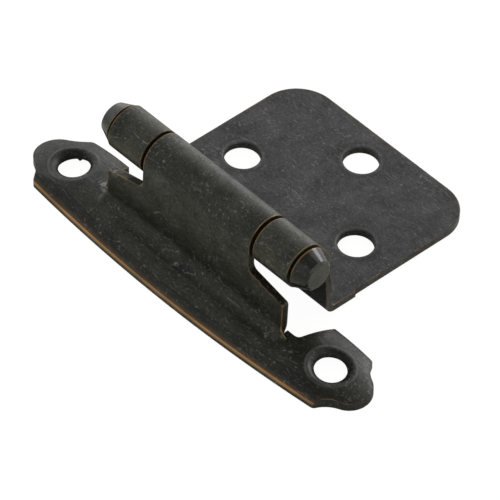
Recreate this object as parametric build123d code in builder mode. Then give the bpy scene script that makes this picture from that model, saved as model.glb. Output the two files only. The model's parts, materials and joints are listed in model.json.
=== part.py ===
import os
from math import acos, asin, atan2, cos, degrees, hypot, radians, sin, sqrt, tan

from build123d import *

os.makedirs("parts", exist_ok=True)

# Sizes in millimetres. The origin lies on the mounting plane, under the middle of the hinge as it lies free.
# X runs along the pin, Y towards the door leaf, Z away from the cabinet frame.
# The sizes of the frame leaf and the place of the pin are measured from the line through its screw holes.

# Sheet, barrel and pin
sheet = 1.2
pin_axis_y = 2.74
pin_axis_z = 14.84
pin_radius = 2.44
pin_clearance = 0.05
pin_grip = 0.01
centre_knuckle = 22.46
end_knuckle = 7.05
knuckle_gap = 0.68

# Frame leaf: crowned plate with two drooping ears
frame_hole_pitch = 55.3
frame_hole = 4.9
frame_hole_flare = 5.7
dish_diameter = 7.1
dish_depth = 0.94
lip_round = 0.9
hole_depth = 0.4
flare_depth = 0.6
plate_height = 3.1
crown_radius = 15.3
crown_y = -0.5
droop_start = 23.5
droop_radius = 34
arch_depth = 4
bevel_width = 1.1
ridge_height = 0.95
front_reach = 7.55
front_bow = 290
rear_reach = 6.05
corner_x = 30.1
corner_round = 0.8
lobe_x = 31.35
lobe_radius = 3.55
scallop_radius = 5.0
rim_width = 0.95
neck_x = 20.75
neck_y = -0.1
ear_inner_x = 22.1
neck_round = 0.9

# Frame leaf: web, shoulders and roll
web_length = 37.25
web_lean = 2.6
fold_radius = 2.2
shoulder_inner_z = 10.6
shoulder_outer_z = 8.9
shoulder_round = 1.2
shoulder_corner = 0.5
roll_past = 35

# Door leaf, measured from the pin axis in the leaf's own directions
leaf_length = 38.1
leaf_drop = 12.82
leaf_reach = 36.03
leaf_corner = 6.35
door_hole = 5.5
door_hole_pitch = 24.35
door_hole_row = 17.7
tip_hole_edge = 5.58
hole_edge = 0.25
strap_margin = 0.44
strap_reach = 10.7
flange_offset = 4.34
flange_lean = 5
crook = 30
bend_radius = 0.6
roll_closing = 290
notch_drop = 3.6
notch_round = 1.0

# Pin heads and closing spring
head_gap = 0.45
head_base = 3.4
head_end = 2.4
head_length = 2.45
head_edge = 0.25
spigot_radius = 1.5
spigot_length = 1.7
cam_depth = 0.75
spring_sheet = 0.5
spring_length = 20
spring_leg = 6.8
spring_reach = 1.2
spring_bend = 0.5
spring_seat = 0.02

# Values that follow from the sizes above
centre_bore = pin_radius + pin_clearance
centre_roll = centre_bore + sheet / 2
door_roll = pin_radius + pin_grip + sheet / 2
barrel_half = centre_knuckle / 2 + knuckle_gap + end_knuckle
pin_half = barrel_half + head_gap
strap_length = 2 * (barrel_half + strap_margin)
door_hole_tip = leaf_reach - tip_hole_edge
front_corner_y = front_bow - front_reach - sqrt(front_bow**2 - corner_x**2)

# Lying free, the spring turns the door leaf down until its far edge rests on the mounting plane
door_tilt = asin(pin_axis_z / hypot(leaf_reach, leaf_drop)) - atan2(leaf_drop, leaf_reach)
leaf_out = Vector(0, cos(door_tilt), -sin(door_tilt))
leaf_up = Vector(0, sin(door_tilt), cos(door_tilt))

# Planes of the frame leaf on the line of its holes, and of the pin and door leaf on the pin axis
far_edge_y = pin_axis_y + leaf_reach * cos(door_tilt) + (sheet - leaf_drop) * sin(door_tilt)
hole_line = (front_reach - far_edge_y) / 2
plan = Plane(origin=(0, hole_line, 0), x_dir=(1, 0, 0), z_dir=(0, 0, 1))
side_view = Plane(origin=(0, hole_line, 0), x_dir=(0, 1, 0), z_dir=(1, 0, 0))
front_view = Plane(origin=(0, hole_line, 0), x_dir=(1, 0, 0), z_dir=(0, -1, 0))
pin_plane = Plane(origin=(0, hole_line + pin_axis_y, pin_axis_z), x_dir=(1, 0, 0), z_dir=(0, -1, 0))
pin_axis = Axis(pin_plane.origin, (1, 0, 0))
door_side = Plane(origin=pin_plane.origin, x_dir=leaf_out, z_dir=(1, 0, 0))
door_front = Plane(origin=pin_plane.origin, x_dir=(1, 0, 0), z_dir=-leaf_out)
door_plan = Plane(origin=pin_plane.origin, x_dir=(1, 0, 0), z_dir=leaf_up)

# The web runs from the crowned plate up to the roll: angle of the crown where the fold starts
web_heading = radians(90 - web_lean)
crown_mid = crown_radius - sheet / 2
fold_mid = fold_radius + sheet / 2
crown_z = plate_height - crown_radius
to_crown = (pin_axis_y - crown_y) * sin(web_heading) + (crown_z - pin_axis_z) * cos(web_heading)
fold_start = web_heading - acos((centre_roll + fold_mid - to_crown) / (crown_mid + fold_mid))
fold_y = crown_y - crown_mid * sin(fold_start)
fold_z = crown_z + crown_mid * cos(fold_start)
roll_y = pin_axis_y - centre_roll * sin(web_heading)
roll_z = pin_axis_z + centre_roll * cos(web_heading)


def scallop_centre(corner_y):
    """Centre of the hollow that leaves an outer corner and runs on smoothly into the round lobe."""
    to_lobe = lobe_radius + scallop_radius
    dx = corner_x - lobe_x
    span = hypot(dx, corner_y)
    along = (to_lobe**2 - scallop_radius**2 + span**2) / (2 * span)
    out = sqrt(to_lobe**2 - along**2)
    side = 1 if corner_y > 0 else -1
    return (lobe_x + (along * dx + out * side * corner_y) / span, (along * corner_y - out * side * dx) / span)


def lobe_touch(corner_y):
    """Point where the hollow from that corner meets the lobe."""
    centre = scallop_centre(corner_y)
    share = lobe_radius / (lobe_radius + scallop_radius)
    return (lobe_x + (centre[0] - lobe_x) * share, centre[1] * share)


def ear_end(side):
    """Edge of one ear from the front corner round the lobe to the middle of the rear edge."""
    front = (side * lobe_touch(front_corner_y)[0], lobe_touch(front_corner_y)[1])
    rear = (side * lobe_touch(rear_reach)[0], lobe_touch(rear_reach)[1])
    RadiusArc((side * corner_x, front_corner_y), front, side * scallop_radius)
    ThreePointArc(front, (side * (lobe_x + lobe_radius), 0), rear)
    RadiusArc(rear, (side * corner_x, rear_reach), side * scallop_radius)
    Line((side * corner_x, rear_reach), (0, rear_reach))


def plate_outline():
    """Plan of the plate: bowed front edge, an ear at each end, straight rear edge, rounded outer corners."""
    with BuildSketch() as outline:
        with BuildLine():
            ThreePointArc((-corner_x, front_corner_y), (0, -front_reach), (corner_x, front_corner_y))
            ear_end(1)
            ear_end(-1)
        make_face()
        for corner_y in (front_corner_y, rear_reach):
            for corner in ((-corner_x, corner_y), (corner_x, corner_y)):
                fillet(outline.vertices().sort_by_distance(corner)[0], corner_round)
    return outline.sketch


def arch(lift):
    """Section under the crown, lowered by lift."""
    with BuildSketch() as section:
        with Locations((crown_y, plate_height - crown_radius)):
            Circle(crown_radius - lift)
        with Locations((0, plate_height)):
            Rectangle(2 * (front_reach + sheet), 2 * arch_depth, mode=Mode.INTERSECT)
    return section.sketch


def crown(lift):
    """Solid under the crown: straight along the middle, drooping over each ear."""
    droop_axis = Axis((droop_start, hole_line, plate_height - droop_radius), (0, 1, 0))
    droop_arc = degrees(asin((lobe_x + lobe_radius + sheet - droop_start) / droop_radius))
    with BuildPart() as body:
        with BuildSketch(side_view):
            add(arch(lift))
        extrude(amount=droop_start)
        with BuildSketch(side_view.offset(droop_start)):
            add(arch(lift))
        revolve(axis=droop_axis, revolution_arc=droop_arc)
        mirror(about=Plane.YZ)
    return body.part


# Frame leaf plate: the outline raised to the crown, bevelled along its bowed front edge
crease_y = bevel_width - front_reach
crease_z = crown_z + sqrt(crown_radius**2 - (crease_y - crown_y) ** 2)
bevel_slope = (crease_z - ridge_height) / bevel_width
with BuildPart() as plate:
    with BuildSketch(plan):
        add(plate_outline())
    extrude(amount=plate_height)
    add(crown(0), mode=Mode.INTERSECT)
    with BuildSketch(side_view):
        with BuildLine():
            Polyline(
                (-2 * front_reach, ridge_height - front_reach * bevel_slope),
                (0, ridge_height + front_reach * bevel_slope),
                (-2 * front_reach, ridge_height + front_reach * bevel_slope),
                close=True,
            )
        make_face()
    revolve(axis=Axis((0, hole_line + front_bow - front_reach, 0), (0, 0, 1)), mode=Mode.SUBTRACT)

# Frame leaf underside: hollow below the crown, inside a rim that meets the mounting plane
with BuildPart() as hollow:
    with BuildSketch(plan):
        with Locations((0, front_bow - front_reach)):
            Circle(front_bow - rim_width)
        with Locations((0, rear_reach - rim_width)):
            Rectangle(
                2 * (corner_x - rim_width),
                front_reach + rear_reach,
                align=(Align.CENTER, Align.MAX),
                mode=Mode.INTERSECT,
            )
        SlotCenterToCenter(2 * lobe_x, 2 * (lobe_radius - rim_width))
    extrude(amount=plate_height)
    add(crown(sheet), mode=Mode.INTERSECT)

# Frame leaf web: the sheet folds up from the plate, stands behind it and rolls over the pin
with BuildPart() as web:
    with BuildSketch(side_view):
        with BuildLine():
            foot = Line(
                (fold_y - sheet / 2 * cos(fold_start), fold_z - sheet / 2 * sin(fold_start)), (fold_y, fold_z)
            )
            fold = JernArc(foot @ 1, foot % 1, fold_mid, 90 - web_lean - degrees(fold_start))
            rise = Line(fold @ 1, (roll_y, roll_z))
            JernArc(rise @ 1, rise % 1, centre_roll, web_lean - 180 - roll_past)
        trace(line_width=sheet)
    extrude(amount=web_length / 2, both=True)
    # sloping shoulders either side of the centre knuckle
    with BuildSketch(front_view) as shoulders:
        with BuildLine():
            Polyline(
                (0, -sheet),
                (web_length / 2, -sheet),
                (web_length / 2, shoulder_outer_z),
                (centre_knuckle / 2, shoulder_inner_z),
                (centre_knuckle / 2, 2 * pin_axis_z),
                (0, 2 * pin_axis_z),
                close=True,
            )
        make_face()
        inner = (centre_knuckle / 2, shoulder_inner_z)
        fillet(shoulders.vertices().sort_by_distance(inner)[0], shoulder_round)
        outer = (web_length / 2, shoulder_outer_z)
        fillet(shoulders.vertices().sort_by_distance(outer)[0], shoulder_corner)
        mirror(about=Plane.YZ)
    extrude(amount=2 * pin_axis_z, both=True, mode=Mode.INTERSECT)

# Frame leaf fold ends: past each end of the web the uncut sheet runs on from the fold down into the ear
with BuildPart() as fold_ends:
    with BuildSketch(side_view.offset(web_length / 2)):
        with BuildLine():
            centre = (fold_y - fold_mid * sin(fold_start), fold_z + fold_mid * cos(fold_start))
            inside = CenterArc(centre, fold_radius, degrees(fold_start) - 90, degrees(web_heading - fold_start))
            low, high = inside @ 0, inside @ 1
            Polyline(high, (high.X, low.Y - sheet / 2), (low.X, low.Y - sheet / 2), low)
        make_face()
    revolve(axis=Axis((web_length / 2, hole_line + high.X, 0), (0, 0, 1)), revolution_arc=90)
    mirror(about=Plane.YZ)

# Frame leaf: plate with hollow underside, open bay behind the web, dished screw holes square to the drooping ears
hole_droop = asin((frame_hole_pitch / 2 - droop_start) / droop_radius)
hole_z = plate_height - droop_radius * (1 - cos(hole_droop))
foot_depth = dish_depth + hole_depth + flare_depth
with BuildPart() as frame_leaf:
    add(plate.part)
    add(hollow.part, mode=Mode.SUBTRACT)
    with BuildSketch(plan) as bay:
        with BuildLine():
            Polyline(
                (-neck_x, neck_y),
                (neck_x, neck_y),
                (ear_inner_x, rear_reach),
                (ear_inner_x, 2 * rear_reach),
                (-ear_inner_x, 2 * rear_reach),
                (-ear_inner_x, rear_reach),
                close=True,
            )
        make_face()
        fillet(bay.vertices().group_by(Axis.Y)[0], neck_round)
        with Locations((0, fold_y)):
            Rectangle(web_length, neck_y + neck_round - fold_y, align=(Align.CENTER, Align.MIN))
    extrude(amount=plate_height, mode=Mode.SUBTRACT)
    add(web.part)
    add(fold_ends.part)
    for side in (-1, 1):
        along = (cos(hole_droop), 0, -side * sin(hole_droop))
        hole_plane = Plane(origin=(side * frame_hole_pitch / 2, hole_line, hole_z), x_dir=along, z_dir=(0, -1, 0))
        hole_axis = Axis(hole_plane.origin, hole_plane.y_dir)
        with BuildSketch(hole_plane):
            with BuildLine():
                Polyline(
                    (0, -sheet),
                    (dish_diameter / 2 + sheet, -sheet),
                    (frame_hole_flare / 2 + sheet / 2, -foot_depth),
                    (0, -foot_depth),
                    close=True,
                )
            make_face()
        revolve(axis=hole_axis)
        with BuildSketch(hole_plane):
            with BuildLine():
                Polyline(
                    (0, sheet),
                    (dish_diameter / 2 + sheet, sheet),
                    (dish_diameter / 2 + sheet, 0),
                    (dish_diameter / 2, 0),
                    (frame_hole / 2, -dish_depth),
                    (frame_hole / 2, -dish_depth - hole_depth),
                    (frame_hole_flare / 2, -foot_depth),
                    (frame_hole_flare / 2, -2 * plate_height),
                    (0, -2 * plate_height),
                    close=True,
                )
            make_face()
        revolve(axis=hole_axis, mode=Mode.SUBTRACT)
        lip = frame_leaf.edges(Select.LAST).sort_by(hole_axis)[-1]
        fillet(lip, lip_round)
frame_leaf.part.label = "frame_leaf"
export_step(frame_leaf.part, "parts/frame_leaf.step")

# Door leaf: the section runs from the leaf up the leaning flange and closes round the pin
lean = radians(flange_lean)
touch = radians(flange_lean + crook)
leaf_mid = sheet / 2 - leaf_drop
crook_y = (flange_offset * sin(touch) - door_roll * sin(lean)) / sin(touch - lean)
crook_z = (door_roll * cos(lean) - flange_offset * cos(touch)) / sin(touch - lean)
foot_y = crook_y + (crook_z - leaf_mid) * tan(lean)
with BuildPart() as door_leaf:
    with BuildSketch(door_side):
        with BuildLine():
            FilletPolyline(
                (strap_reach, leaf_mid),
                (foot_y, leaf_mid),
                (crook_y, crook_z),
                (door_roll * cos(touch), door_roll * sin(touch)),
                radius=bend_radius + sheet / 2,
            )
            CenterArc((0, 0), door_roll, flange_lean + crook, roll_closing)
        trace(line_width=sheet)
    extrude(amount=strap_length / 2, both=True)
    # end knuckles and the notch for the centre knuckle
    with BuildSketch(door_front) as knuckle_cut:
        with Locations((0, crook_z - notch_drop)):
            Rectangle(centre_knuckle + 2 * knuckle_gap, leaf_drop, align=(Align.CENTER, Align.MIN))
        fillet(knuckle_cut.vertices().group_by(Axis.Y)[0], notch_round)
        with BuildLine():
            Polyline(
                (barrel_half, leaf_drop),
                (barrel_half, crook_z - notch_drop),
                (strap_length / 2, -leaf_drop / 2),
                (strap_length, -leaf_drop / 2),
                (strap_length, leaf_drop),
                close=True,
            )
        make_face()
        mirror(about=Plane.YZ)
    extrude(amount=leaf_reach, both=True, mode=Mode.SUBTRACT)
    with BuildSketch(door_plan.offset(-leaf_drop)) as leaf:
        with Locations((0, leaf_reach)):
            Rectangle(leaf_length, leaf_reach - strap_reach + sheet, align=(Align.CENTER, Align.MAX))
        fillet(leaf.vertices().group_by(Axis.Y)[-1], leaf_corner)
    extrude(amount=sheet)
    with BuildSketch(door_plan.offset(-leaf_drop)):
        with Locations((0, door_hole_row)):
            with GridLocations(door_hole_pitch, 1, 2, 1):
                Circle(door_hole / 2)
        with Locations((0, door_hole_tip)):
            Circle(door_hole / 2)
    extrude(amount=sheet, mode=Mode.SUBTRACT)
    # the punch eases the upper edge of each hole
    hole_edges = door_leaf.edges().filter_by(lambda e: e.geom_type == GeomType.CIRCLE and e.is_closed)
    chamfer(hole_edges.group_by(Axis(pin_plane.origin, leaf_up))[-1], hole_edge)
door_leaf.part.label = "door_leaf"
export_step(door_leaf.part, "parts/door_leaf.step")

# Hinge pin: turned, one cone-shaped head, reduced end for the tip, flat along the middle for the spring
with BuildPart() as hinge_pin:
    with BuildSketch(pin_plane) as pin_section:
        with BuildLine():
            Polyline(
                (-pin_half - spigot_length, 0),
                (-pin_half - spigot_length, spigot_radius),
                (-pin_half, spigot_radius),
                (-pin_half, pin_radius),
                (pin_half, pin_radius),
                (pin_half, head_base),
                (pin_half + head_length, head_end),
                (pin_half + head_length, 0),
                close=True,
            )
        make_face()
        rim = (pin_half + head_length, head_end)
        chamfer(pin_section.vertices().sort_by_distance(rim)[0], head_edge)
    revolve(axis=pin_axis)
    with BuildSketch(side_view):
        with Locations((pin_axis_y, pin_axis_z - pin_radius)):
            Rectangle(2 * pin_radius, 2 * cam_depth)
    extrude(amount=spring_length / 2 + knuckle_gap, both=True, mode=Mode.SUBTRACT)
hinge_pin.part.label = "hinge_pin"
export_step(hinge_pin.part, "parts/hinge_pin.step")

# Pin tip: the same cone with a blind hole, pressed on the reduced end of the pin
with BuildPart() as pin_tip:
    with BuildSketch(pin_plane) as tip_section:
        with BuildLine():
            Polyline(
                (-pin_half, spigot_radius),
                (-pin_half, head_base),
                (-pin_half - head_length, head_end),
                (-pin_half - head_length, 0),
                (-pin_half - spigot_length, 0),
                (-pin_half - spigot_length, spigot_radius),
                close=True,
            )
        make_face()
        rim = (-pin_half - head_length, head_end)
        chamfer(tip_section.vertices().sort_by_distance(rim)[0], head_edge)
    revolve(axis=pin_axis)
pin_tip.part.label = "pin_tip"
export_step(pin_tip.part, "parts/pin_tip.step")

# Closing spring: folded strip behind the leaning web, its upper leg under the flat of the pin
flat_z = pin_axis_z - pin_radius + cam_depth - spring_seat - spring_sheet / 2
leg_gap = sheet / 2 + spring_seat + spring_sheet / 2
leg_y = roll_y + (leg_gap - (roll_z - flat_z) * cos(web_heading)) / sin(web_heading)
with BuildPart() as closing_spring:
    with BuildSketch(side_view):
        with BuildLine():
            FilletPolyline(
                (leg_y - spring_leg * cos(web_heading), flat_z - spring_leg * sin(web_heading)),
                (leg_y, flat_z),
                (pin_axis_y + spring_reach, flat_z),
                radius=spring_bend + spring_sheet / 2,
            )
        trace(line_width=spring_sheet)
    extrude(amount=spring_length / 2, both=True)
closing_spring.part.label = "closing_spring"
export_step(closing_spring.part, "parts/closing_spring.step")
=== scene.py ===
import json

import bmesh
import bpy
from mathutils import Matrix, Vector


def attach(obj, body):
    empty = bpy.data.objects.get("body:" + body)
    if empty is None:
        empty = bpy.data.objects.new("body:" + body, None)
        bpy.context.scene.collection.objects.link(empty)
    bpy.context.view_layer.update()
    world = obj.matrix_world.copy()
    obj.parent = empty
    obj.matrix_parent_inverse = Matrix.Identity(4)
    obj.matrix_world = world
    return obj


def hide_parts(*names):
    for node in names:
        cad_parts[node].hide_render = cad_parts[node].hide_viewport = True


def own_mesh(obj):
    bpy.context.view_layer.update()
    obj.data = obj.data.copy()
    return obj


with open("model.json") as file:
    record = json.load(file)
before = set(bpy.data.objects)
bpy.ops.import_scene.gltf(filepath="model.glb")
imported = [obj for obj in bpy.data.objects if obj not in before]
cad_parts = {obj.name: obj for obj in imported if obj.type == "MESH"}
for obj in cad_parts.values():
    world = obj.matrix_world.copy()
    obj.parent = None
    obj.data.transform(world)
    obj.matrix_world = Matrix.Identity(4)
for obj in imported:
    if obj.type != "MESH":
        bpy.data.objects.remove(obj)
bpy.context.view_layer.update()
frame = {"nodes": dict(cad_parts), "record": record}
nodes = frame["nodes"]
mounts = frame["record"]["mounts"]

# Frame leaf: stamped from 1.2 mm steel sheet, crowned, with a bevelled front edge and dished screw holes.
# The web folds up behind it and rolls over the pin. Its dark oil-rubbed coat is rubbed through to copper
# along the raised edges, most of all on the ridge of the front bevel.


def feed(tree, value, target):
    """Links another node's output to an input, or sets the input to a fixed value."""
    if isinstance(value, bpy.types.NodeSocket):
        tree.links.new(value, target)
    else:
        target.default_value = value


def put(tree, kind, inputs, **settings):
    """Adds a shader node. Inputs are given by name or number; settings are the node's own properties."""
    made = tree.nodes.new(kind)
    for name, value in settings.items():
        setattr(made, name, value)
    for place, value in inputs.items():
        feed(tree, value, made.inputs[place])
    return made


def maths(tree, operation, first, *others, clamp=False):
    """Chains an operation over values, each a number or another node's output."""
    for other in others or (0.0,):
        made = put(tree, "ShaderNodeMath", {0: first, 1: other}, operation=operation, use_clamp=clamp)
        first = made.outputs[0]
    return first


def vectors(tree, operation, first, second=(0.0, 0.0, 0.0)):
    """One operation on vectors; a length or a distance comes out as a value."""
    made = put(tree, "ShaderNodeVectorMath", {0: first, 1: second}, operation=operation)
    return made.outputs["Value" if operation in ("LENGTH", "DISTANCE") else "Vector"]


def scaled(tree, vector, scale):
    """A vector or colour times a value."""
    return put(tree, "ShaderNodeVectorMath", {0: vector, "Scale": scale}, operation="SCALE").outputs["Vector"]


def ramp(tree, value, low, high, start=0.0, end=1.0, smooth=False):
    """Maps a value from low..high to start..end, and holds it there beyond both ends."""
    inputs = {"Value": value, "From Min": low, "From Max": high, "To Min": start, "To Max": end}
    fade = "SMOOTHSTEP" if smooth else "LINEAR"
    return put(tree, "ShaderNodeMapRange", inputs, interpolation_type=fade).outputs[0]


def noise(tree, where, scale, detail, rough=0.55):
    """Noise pattern at coordinates in metres, with about scale patches to the metre."""
    inputs = {"Vector": where, "Scale": scale, "Detail": detail, "Roughness": rough}
    return put(tree, "ShaderNodeTexNoise", inputs).outputs[0]


def places(tree):
    """Coordinates of the piece, in metres in the hinge's own frame."""
    return put(tree, "ShaderNodeTexCoord", {}).outputs["Object"]


def axes(tree, vector):
    """The X, Y and Z of a vector, by name."""
    return put(tree, "ShaderNodeSeparateXYZ", {0: vector}).outputs


def colours(tree, share, first, second):
    """Mixes two colours by a mask."""
    return put(tree, "ShaderNodeMix", {0: share, 6: first, 7: second}, data_type="RGBA").outputs[2]


def near(tree, where, point, reach):
    """Mask that is full round a point and fades out at the reach."""
    full = 0.3 * reach
    return ramp(tree, vectors(tree, "DISTANCE", where, point), reach, full)


def darker(tree, mask, tone):
    """Share of the coat's tone that is left: all of it outside a mask, and tone where the mask is full."""
    return ramp(tree, mask, 0.0, 1.0, 1.0, tone)


def new_group(name, inputs, outputs):
    """Starts a shader node group of values. Returns its tree, what it is given and what it gives."""
    tree = bpy.data.node_groups.new(name, "ShaderNodeTree")
    for label, value in inputs.items():
        socket = tree.interface.new_socket(label, in_out="INPUT", socket_type="NodeSocketFloat")
        socket.default_value = value
    for label in outputs:
        tree.interface.new_socket(label, in_out="OUTPUT", socket_type="NodeSocketFloat")
    return tree, tree.nodes.new("NodeGroupInput").outputs, tree.nodes.new("NodeGroupOutput").inputs


# rubbed edge: full on an outer edge of the sheet, where its faces close in on a point just inside;
# a span, here and below, is the part of a pattern's range over which its effect comes in
edge_samples = 12
flat_openness = 0.86
edge_openness = 0.6
stretches_per_metre = 260.0
stretch_span = (0.42, 0.62)
rubbed_edge, given, result = new_group("rubbed_edge", {"Reach": 0.0003, "Breakup": 0.5}, ["Mask"])
corner = put(
    rubbed_edge, "ShaderNodeAmbientOcclusion", {"Distance": given["Reach"]},
    inside=True, only_local=True, samples=edge_samples,
)
sharp = ramp(rubbed_edge, corner.outputs["AO"], flat_openness, edge_openness, smooth=True)
stretches = noise(rubbed_edge, places(rubbed_edge), stretches_per_metre, detail=3.0, rough=0.6)
least_rub = maths(rubbed_edge, "SUBTRACT", 1.0, given["Breakup"], clamp=True)
rub_along = ramp(rubbed_edge, stretches, *stretch_span, start=least_rub)
feed(rubbed_edge, maths(rubbed_edge, "MULTIPLY", sharp, rub_along), result["Mask"])

# painted hollow shade: below 1 in folds, dishes and gaps, where shade is painted into the coat's tone and its
# coat is thinned
closed_in = 0.4
hollow_shade_tone = 0.12
pooled_oil, given, result = new_group("pooled_oil", {"Reach": 0.003}, ["Clean"])
hollow = put(
    pooled_oil, "ShaderNodeAmbientOcclusion", {"Distance": given["Reach"]},
    only_local=True, samples=edge_samples,
)
feed(pooled_oil, ramp(pooled_oil, hollow.outputs["AO"], closed_in, 1.0, hollow_shade_tone, 1.0), result["Clean"])

# handled coat: fine grain, soft cloudiness, pale specks and hair scratches of a tumbled, oiled finish
clouds_per_metre = 300.0
grains_per_metre = 2600.0
specks_per_metre = 1900.0
clusters_per_metre = 160.0
drifts_per_metre = 170.0
hairs_per_metre = 150.0
cloud_weight = 0.45
grain_weight = 0.55
tone_span = (0.34, 0.66)
tone_low = 0.3
tone_high = 1.7
sheen_span = (0.36, 0.64)
sheen_high = 0.84
speck_span = (0.60, 0.72)
cluster_span = (0.42, 0.62)
cluster_least = 0.25
hair_span = (0.69, 0.78)
hair_drift = 0.004
hair_tilt = 0.2
hair_turns_and_stretches = ((0.5, 24.0), (-1.1, 32.0), (2.2, 28.0), (1.4, 40.0))
handled_coat, given, result = new_group(
    "handled_coat", {"Specks": 0.5, "Scratches": 0.5}, ["Tone", "Sheen", "Marks", "Height"]
)
where = places(handled_coat)
clouds = noise(handled_coat, where, clouds_per_metre, detail=5.0, rough=0.6)
grains = noise(handled_coat, where, grains_per_metre, detail=4.0, rough=0.7)
mottle = maths(
    handled_coat, "ADD",
    maths(handled_coat, "MULTIPLY", clouds, cloud_weight),
    maths(handled_coat, "MULTIPLY", grains, grain_weight),
)
feed(handled_coat, ramp(handled_coat, mottle, *tone_span, tone_low, tone_high), result["Tone"])
feed(handled_coat, ramp(handled_coat, mottle, *sheen_span, 0.0, sheen_high), result["Sheen"])
feed(handled_coat, grains, result["Height"])
specks = noise(handled_coat, where, specks_per_metre, detail=2.0, rough=0.6)
clusters = noise(handled_coat, where, clusters_per_metre, detail=3.0)
clustered = ramp(handled_coat, clusters, *cluster_span, start=cluster_least)
marks = maths(handled_coat, "MULTIPLY", ramp(handled_coat, specks, *speck_span), clustered, given["Specks"])
drift = put(
    handled_coat, "ShaderNodeTexNoise", {"Vector": where, "Scale": drifts_per_metre, "Detail": 1.0}
)
bent = vectors(handled_coat, "ADD", where, scaled(handled_coat, drift.outputs["Color"], hair_drift))
for turn, stretch in hair_turns_and_stretches:
    lay = {"Vector": bent, "Rotation": (0.3 * turn, hair_tilt, turn), "Scale": (1.0, stretch, stretch)}
    drawn_out = put(handled_coat, "ShaderNodeMapping", lay).outputs["Vector"]
    hairs = ramp(handled_coat, noise(handled_coat, drawn_out, hairs_per_metre, detail=1.0), *hair_span)
    hairs = maths(handled_coat, "MULTIPLY", hairs, given["Scratches"])
    marks = maths(handled_coat, "MAXIMUM", marks, hairs)
feed(handled_coat, marks, result["Marks"])

white = (1.0, 1.0, 1.0, 1.0)
pale_mark = (0.30, 0.295, 0.28, 1.0)
copper = (0.56, 0.305, 0.12, 1.0)
copper_shine = 0.85
coat_shine = 0.34
rub_reach = 0.00028
rub_breakup = 0.9
hollow_shade_reach = 0.005
edge_round = 0.0002
round_samples = 8
duller = 0.1
glossier = 0.02
grain_strength = 0.3
grain_depth = 0.00004


def rounded(tree, radius):
    """Normal of the surface with its edges rounded to a radius."""
    return put(tree, "ShaderNodeBevel", {"Radius": radius}, samples=round_samples).outputs[0]


def new_finish(name):
    """New material. Returns it and its tree."""
    material = bpy.data.materials.new(name)
    material.use_nodes = True
    return material, material.node_tree


def bronze(
    tree, coat, rub, specks, scratches, roughness,
    shade_factor=1.0, pale_spots=0.0, bare=0.0, normal=None, shine=white,
):
    """Dark oiled coat over steel, rubbed to copper on its edges. The shade factor is below 1 where shade is
    painted into the coat's colour and coat, on top of the painted shade always added in folds, dishes and
    gaps; pale spots are pale marks, real scuffs and painted highlights; and bare is copper besides that on
    the edges."""
    handled = {"Specks": specks, "Scratches": scratches}
    finish = put(tree, "ShaderNodeGroup", handled, node_tree=handled_coat).outputs
    rubbing = {"Reach": rub_reach, "Breakup": rub_breakup}
    edge = put(tree, "ShaderNodeGroup", rubbing, node_tree=rubbed_edge).outputs["Mask"]
    hollow_shade = put(tree, "ShaderNodeGroup", {"Reach": hollow_shade_reach}, node_tree=pooled_oil).outputs["Clean"]
    # painted shade: the shade factor and the painted hollow shade darken the coat's colour and thin its coat
    painted_shade_all = maths(tree, "MULTIPLY", shade_factor, hollow_shade)
    worn = maths(tree, "MAXIMUM", maths(tree, "MULTIPLY", edge, rub), bare)
    toned = scaled(tree, coat, maths(tree, "MULTIPLY", finish["Tone"], painted_shade_all))
    pale_spotted = colours(tree, maths(tree, "MAXIMUM", finish["Marks"], pale_spots), toned, pale_mark)
    dull_to_glossy = (roughness + duller, roughness - glossier)
    bump = {
        "Strength": grain_strength,
        "Distance": grain_depth,
        "Height": finish["Height"],
        "Normal": normal or rounded(tree, edge_round),
    }
    looks = {
        "Base Color": colours(tree, worn, pale_spotted, copper),
        "Metallic": maths(tree, "MULTIPLY", worn, copper_shine),
        "Roughness": ramp(tree, finish["Tone"], tone_low, tone_high, *dull_to_glossy),
        "Specular IOR Level": coat_shine,
        "Specular Tint": shine,
        "Coat Weight": maths(tree, "MULTIPLY", finish["Sheen"], painted_shade_all),
        "Coat Roughness": roughness,
        "Normal": put(tree, "ShaderNodeBump", bump).outputs[0],
    }
    for place, value in looks.items():
        feed(tree, value, tree.nodes["Principled BSDF"].inputs[place])


def dress(piece, material):
    """Gives a CAD piece its material."""
    nodes[piece].data.materials.clear()
    nodes[piece].data.materials.append(material)


frame_bronze, tree = new_finish("frame_bronze")
where = places(tree)
side = axes(tree, where)
frame_holes = [mount for mount in mounts if mount["name"].startswith("frame_screw")]
hole_line = frame_holes[0]["pos_m"][1]

# distance in from the bowed front edge, and depth below the slope of the upper bevel
front_bow = 0.290
front_reach = 0.00755
ridge_height = 0.00095
bevel_slope = 0.86
bow_centre = (0.0, hole_line + front_bow - front_reach, 0.0)
from_bow = vectors(tree, "MULTIPLY", vectors(tree, "SUBTRACT", where, bow_centre), (1.0, 1.0, 0.0))
inwards = maths(tree, "SUBTRACT", front_bow, vectors(tree, "LENGTH", from_bow))
bevel = maths(tree, "ADD", maths(tree, "MULTIPLY", inwards, bevel_slope), ridge_height)
below = maths(tree, "SUBTRACT", bevel, side["Z"])

# copper ridge: a bright core with a weak halo behind it, stronger and weaker along the edge
copper_core = 0.00024
copper_width = 0.0008
halo_share = 0.2
patches_per_metre = 130.0
patch_span = (0.36, 0.62)
patch_least = 0.55
core = ramp(tree, inwards, copper_core, 0.4 * copper_core, smooth=True)
halo = ramp(tree, inwards, copper_width, 0.0, 0.0, halo_share, smooth=True)
above = ramp(tree, side["Z"], 0.5 * ridge_height, 0.95 * ridge_height, smooth=True)
patchy = ramp(tree, noise(tree, where, patches_per_metre, detail=2.0), *patch_span, start=patch_least)
ridge = maths(tree, "MULTIPLY", maths(tree, "MAXIMUM", core, halo), above, patchy)

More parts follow.
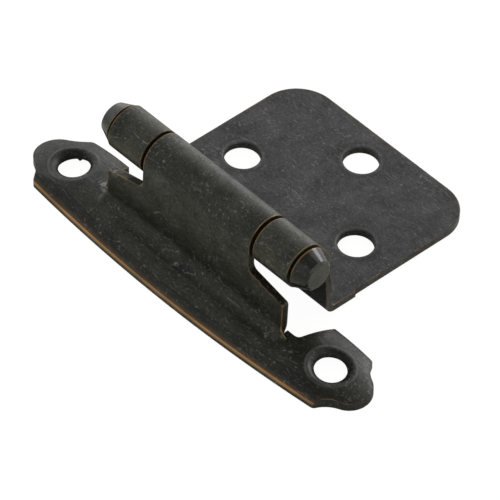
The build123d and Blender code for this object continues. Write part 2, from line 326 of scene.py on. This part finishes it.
# painted shade: the upper bevel is painted darker, darkest in the crease above it
bevel_limit = 0.0026
bevel_deep = 0.00014
bevel_skin = 0.00003
crease_skin = 0.000012
bevel_shade_tone = 0.5
crease_shade_tone = 0.3
front = ramp(tree, inwards, bevel_limit, 0.9 * bevel_limit)
on_bevel = maths(tree, "MULTIPLY", ramp(tree, below, bevel_deep, bevel_skin), front)
in_crease = maths(tree, "MULTIPLY", ramp(tree, below, crease_skin, bevel_skin), on_bevel)

# screw dishes and ears: painted shade in the dishes and, lighter, over the ears; painted highlights in places
# on the dishes' lips
dish_radius = 0.00355
dish_fade = 0.0007
dish_shade_tone = 0.35
ear_start = 0.0215
ear_full = 0.0245
ear_shade_tone = 0.64
lip_middle = 0.00025
lip_width = 0.0003
lip_highlights_per_metre = 240.0
lip_span = (0.4, 0.65)
lip_highlight_least = 0.09
lip_highlight_most = 0.3
from_lips = []
for hole in frame_holes:
    from_hole = vectors(tree, "SUBTRACT", where, hole["pos_m"])
    from_axis = vectors(tree, "LENGTH", vectors(tree, "CROSS_PRODUCT", from_hole, hole["axis"]))
    from_lips.append(maths(tree, "SUBTRACT", from_axis, dish_radius))
from_lip = maths(tree, "MINIMUM", *from_lips)
painted_dish_shade = ramp(tree, from_lip, -dish_fade, 0.0, dish_shade_tone, 1.0, smooth=True)
ear = ramp(tree, maths(tree, "ABSOLUTE", side["X"]), ear_start, ear_full)
off_lip = maths(tree, "ABSOLUTE", maths(tree, "SUBTRACT", from_lip, lip_middle))
lip_highlight_patches = ramp(tree, noise(tree, where, lip_highlights_per_metre, detail=2.0), *lip_span, lip_highlight_least, lip_highlight_most)
lip_highlight = maths(tree, "MULTIPLY", ramp(tree, off_lip, lip_width, 0.0, smooth=True), lip_highlight_patches)

# pale scuffs on the field in front of the web, and bare torn metal at the lanced left end of the web;
# places are X, then Y from the hole line
field_height = 0.0029
scuff_reach = 0.0006
scuff_share = 0.5
roughs_per_metre = 1500.0
rough_span = (0.45, 0.6)
field_scuffs = ((-0.0077, -0.0027), (-0.0050, -0.0024), (-0.0020, -0.0030), (0.0170, -0.0030))
torn_places_and_reaches = (
    ((-0.0209, 0.0001, 0.0030), 0.0012),
    ((-0.0201, -0.0004, 0.0030), 0.0009),
    ((-0.0173, -0.0009, 0.0095), 0.0014),
)
pale_spots = [near(tree, where, (x, hole_line + y, field_height), scuff_reach) for x, y in field_scuffs]
pale_spotted = maths(tree, "MULTIPLY", maths(tree, "MAXIMUM", *pale_spots), scuff_share)
torn = [near(tree, where, (x, hole_line + y, z), reach) for (x, y, z), reach in torn_places_and_reaches]
rough = ramp(tree, noise(tree, where, roughs_per_metre, detail=3.0, rough=0.7), *rough_span)
bared = maths(tree, "MULTIPLY", maths(tree, "MAXIMUM", pale_spotted, *torn), rough)

# the rims of the ears are rolled over more than the other edges
ear_round = 0.0014
rims = {0: ear, 4: rounded(tree, edge_round), 5: rounded(tree, ear_round)}
bronze(
    tree,
    coat=(0.0100, 0.0108, 0.0045),
    rub=0.55,
    specks=0.45,
    scratches=0.3,
    roughness=0.36,
    # painted shade on the bevel, in the crease, over the ears and in the dishes
    shade_factor=maths(
        tree, "MULTIPLY", darker(tree, on_bevel, bevel_shade_tone), darker(tree, in_crease, crease_shade_tone),
        darker(tree, ear, ear_shade_tone), painted_dish_shade,
    ),
    # painted highlights on the dishes' lips, with the real scuffs and torn metal
    pale_spots=maths(tree, "MAXIMUM", lip_highlight, bared),
    bare=ridge,
    normal=put(tree, "ShaderNodeMix", rims, data_type="VECTOR").outputs[1],
    shine=(1.0, 1.0, 0.94, 1.0),
)
dress("frame_leaf", frame_bronze)

# Closing spring: a folded strip of bare spring steel behind the web, its upper leg under the flat of the pin.
# It is rolled strip, so it keeps a faint lengthwise grain and a thin film of oil.
dark_steel = (0.20, 0.19, 0.17, 1.0)
bright_steel = (0.36, 0.35, 0.32, 1.0)
strip_grain = (40.0, 900.0, 900.0)
oiled_to_dry = (0.28, 0.46)
merge_gap = 1e-7
spring_steel, tree = new_finish("spring_steel")
lengthwise = put(tree, "ShaderNodeMapping", {"Vector": places(tree), "Scale": strip_grain})
rolled = noise(tree, lengthwise.outputs["Vector"], scale=3.0, detail=4.0)
surface = tree.nodes["Principled BSDF"]
feed(tree, 1.0, surface.inputs["Metallic"])
feed(tree, colours(tree, rolled, dark_steel, bright_steel), surface.inputs["Base Color"])
feed(tree, ramp(tree, rolled, 0.0, 1.0, *oiled_to_dry), surface.inputs["Roughness"])
strip_mesh = nodes["closing_spring"].data.copy()
strip = bmesh.new()
strip.from_mesh(strip_mesh)
bmesh.ops.remove_doubles(strip, verts=strip.verts, dist=merge_gap)
strip.to_mesh(strip_mesh)
strip.free()
strip_mesh.materials.clear()
strip_mesh.materials.append(spring_steel)
folded_spring = bpy.data.objects.new("folded_spring", strip_mesh)
bpy.context.scene.collection.objects.link(folded_spring)
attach(folded_spring, "frame")
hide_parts("closing_spring")
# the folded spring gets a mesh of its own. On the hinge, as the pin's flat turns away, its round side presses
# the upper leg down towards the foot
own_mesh(folded_spring)

# Hinge pin and pin tip: turned steel with a cone at each end, the tip pressed on once the pin is through
# the barrel. The same dark coat, smoother than on the sheet, with rubbed rims.
pin_bronze, tree = new_finish("pin_bronze")
bronze(tree, coat=(0.011, 0.0112, 0.007), rub=0.4, specks=0.15, scratches=0.1, roughness=0.1)
for piece in ("hinge_pin", "pin_tip"):
    dress(piece, pin_bronze)

# Door leaf: the same sheet, stepped down from the end knuckles to a flat leaf with three screw holes.
# Its open face shows the coat's pale specks and hair scratches best, with thin copper on the cut edges.
# The punch has pressed a ring round each hole and left its rim rounded; painted shade darkens the ring and a
# painted highlight lies on the rim.
leaf_coat = (0.0105, 0.0098, 0.0102, 1.0)
lit_knuckle_coat = (0.0150, 0.0155, 0.0050, 1.0)
flange_low = 0.008
flange_high = 0.0105
ring_out = 0.0009
ring_inner = 0.0001
ring_outer = 0.0004
ring_shade_tone = 0.65
rim_start = (0.00005, 0.00015)
rim_end = (0.0005, 0.00025)
rim_highlight = 0.13
millimetre = 0.001
door_holes = [mount for mount in mounts if mount["name"].startswith("door_screw")]
door_bronze, tree = new_finish("door_bronze")
where = places(tree)
across = vectors(tree, "MULTIPLY", where, (1.0, 1.0, 0.0))
from_rims = []
for hole in door_holes:
    hole_x, hole_y = hole["pos_m"][:2]
    from_axis = vectors(tree, "DISTANCE", across, (hole_x, hole_y, 0.0))
    from_rims.append(maths(tree, "SUBTRACT", from_axis, millimetre * hole["dims"]["r_mm"]))
from_rim = maths(tree, "MINIMUM", *from_rims)
off_ring = maths(tree, "ABSOLUTE", maths(tree, "SUBTRACT", from_rim, ring_out))
past_start = ramp(tree, from_rim, *rim_start)
before_end = ramp(tree, from_rim, *rim_end, 0.0, rim_highlight)
# the knuckles are coloured browner than the leaf and painted lighter, standing in for light on them
up_flange = ramp(tree, axes(tree, where)["Z"], flange_low, flange_high)
bronze(
    tree,
    coat=colours(tree, up_flange, leaf_coat, lit_knuckle_coat),
    rub=0.5,
    specks=0.36,
    scratches=0.38,
    roughness=0.36,
    # painted shade in a ring round each hole
    shade_factor=ramp(tree, off_ring, ring_inner, ring_outer, ring_shade_tone, 1.0, smooth=True),
    # painted highlight on each hole's rounded rim
    pale_spots=maths(tree, "MULTIPLY", past_start, before_end),
)
dress("door_leaf", door_bronze)

# Studio: a white floor under the hinge, a white surround that mirrors dimmer overhead and in front, and two
# soft lights behind it, one low and broad and one that shows as a bright patch on the pin's cone.
# The floor is white to the eye, bright in reflections only behind the hinge, and keeps a soft shadow.
floor_half = 3.0
floor_height = -0.00002
floor_colour = (0.72, 0.72, 0.63, 1.0)
floor_glow = 1.12
glow_share = 0.86
bright_from = 0.03
bright_full = 0.06
sheet = bmesh.new()
lowered = Matrix.Translation((0.0, 0.0, floor_height))
bmesh.ops.create_grid(sheet, x_segments=1, y_segments=1, size=floor_half, matrix=lowered)
floor_mesh = bpy.data.meshes.new("floor")
sheet.to_mesh(floor_mesh)
sheet.free()
floor = bpy.data.objects.new("floor", floor_mesh)
bpy.context.scene.collection.objects.link(floor)
paper, tree = new_finish("paper")
tree.nodes.clear()
matte = put(tree, "ShaderNodeBsdfDiffuse", {"Color": floor_colour}).outputs[0]
glow = put(tree, "ShaderNodeEmission", {"Strength": floor_glow}).outputs[0]
path = put(tree, "ShaderNodeLightPath", {}).outputs
behind = ramp(tree, axes(tree, places(tree))["Y"], bright_from, bright_full)
mirrored = maths(tree, "MULTIPLY", path["Is Glossy Ray"], behind)
glowing = maths(tree, "MAXIMUM", path["Is Camera Ray"], path["Is Transmission Ray"], mirrored)
share = maths(tree, "MULTIPLY", glowing, glow_share)
lit = put(tree, "ShaderNodeMixShader", {0: share, 1: matte, 2: glow}).outputs[0]
put(tree, "ShaderNodeOutputMaterial", {"Surface": lit})
floor_mesh.materials.append(paper)

plain_light = 0.65
seen_light = 1.0
overhead_span = (0.72, 0.92)
overhead_mirrored = 0.2
front_span = (-0.7, 0.0)
front_mirrored = 0.5
world = bpy.data.worlds.new("studio")
bpy.context.scene.world = world
world.use_nodes = True
tree = world.node_tree
path = put(tree, "ShaderNodeLightPath", {}).outputs
sky = axes(tree, put(tree, "ShaderNodeTexCoord", {}).outputs["Generated"])
plain = ramp(tree, path["Is Camera Ray"], 0.0, 1.0, plain_light, seen_light)
dome = ramp(tree, sky["Z"], *overhead_span, 1.0, overhead_mirrored)
front_side = ramp(tree, sky["Y"], *front_span, front_mirrored, 1.0)
surround = {0: path["Is Glossy Ray"], 2: plain, 3: maths(tree, "MULTIPLY", dome, front_side)}
backdrop = tree.nodes["Background"].inputs
feed(tree, white, backdrop["Color"])
feed(tree, put(tree, "ShaderNodeMix", surround).outputs[0], backdrop["Strength"])


def soft_light(name, place, aim, width, depth, watts):
    """Studio panel of that width and depth at place, turned towards aim."""
    lamp = bpy.data.lights.new(name, "AREA")
    lamp.shape = "RECTANGLE"
    lamp.size = width
    lamp.size_y = depth
    lamp.energy = watts
    holder = bpy.data.objects.new(name, lamp)
    facing = (Vector(place) - Vector(aim)).to_track_quat("Z", "Y").to_matrix().to_4x4()
    holder.matrix_world = Matrix.Translation(place) @ facing
    bpy.context.scene.collection.objects.link(holder)


middle = (0.0, 0.0, 0.008)
soft_light("back_light", (-0.35, 0.9, 0.18), middle, width=1.0, depth=0.35, watts=0.4)
soft_light("pin_light", (0.0, 0.85, 0.42), middle, width=0.45, depth=0.35, watts=1.8)

# Camera: a long lens on a stand to the right of the hinge and in front of it, looking down on it.
# Right, up and back are the picture's own directions, as the photo's camera was found to stand.
sight = bpy.data.cameras.new("camera")
sight.lens = 432.0
sight.sensor_width = 36.0
sight.clip_start = 0.05
camera = bpy.data.objects.new("camera", sight)
camera_place = (0.438839, hole_line - 0.407448, 0.638773)
right = Vector((0.682785, 0.730573, 0.008259))
up = Vector((-0.534774, 0.492027, 0.686969))
back = Vector((0.497817, -0.473469, 0.72664))
turn = Matrix((right, up, back)).transposed().to_4x4()
camera.matrix_world = Matrix.Translation(camera_place) @ turn
bpy.context.scene.collection.objects.link(camera)
bpy.context.scene.camera = camera
bpy.context.scene.view_settings.view_transform = "Standard"
